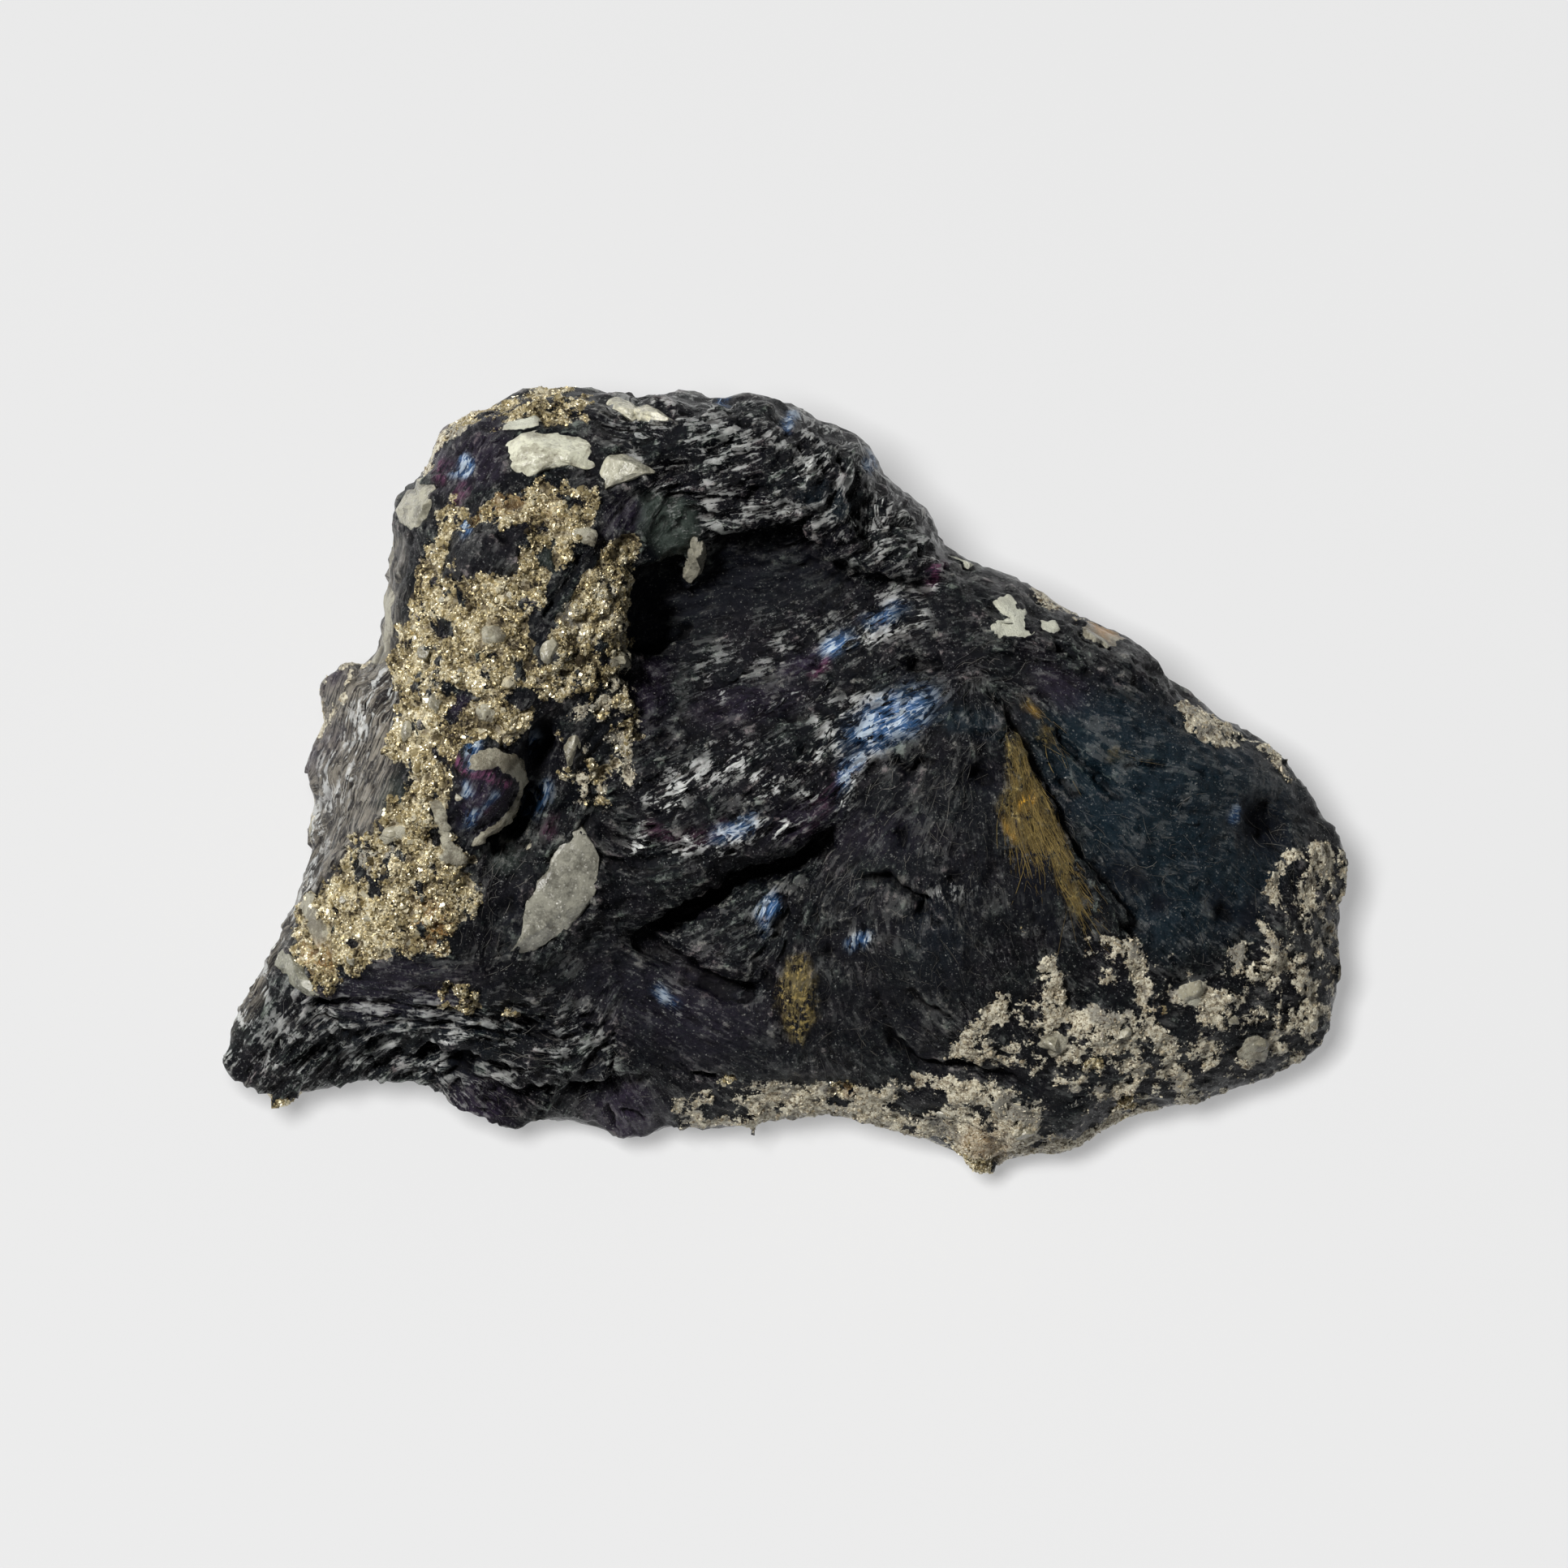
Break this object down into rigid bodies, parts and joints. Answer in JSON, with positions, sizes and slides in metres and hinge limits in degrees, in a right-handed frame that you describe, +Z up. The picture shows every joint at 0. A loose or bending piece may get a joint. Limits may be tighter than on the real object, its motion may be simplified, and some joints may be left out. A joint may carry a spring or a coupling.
{
  "type": "covellite specimen",
  "caption": "Hand-sized lump of foliated indigo covellite with a granular pyrite band, a pale quartz zone and set quartz crystals, resting on a flat face.",
  "frame": {"origin": "centre of the bounding box, at the flat face that the specimen rests on", "axes": "+Z up, +X to the right along the show face, +Y towards the high back rim of the leaned show face"},
  "size_m": [0.0924, 0.062, 0.0394],
  "materials": {
    "covellite": "foliated, submetallic, dark indigo with blue and purple tints",
    "quartz": "milky to clear, glassy"
  },
  "bodies": {
    "root": {"covellite_mass": "covellite", "quartz_lens_crystal": "quartz", "quartz_prism_crystal": "quartz", "quartz_top_crystal": "quartz", "quartz_wedge_crystal": "quartz", "quartz_upper_rim_crystals": "quartz", "quartz_left_rim_crystal": "quartz", "quartz_toe_crystal": "quartz"}
  },
  "joints": []
}
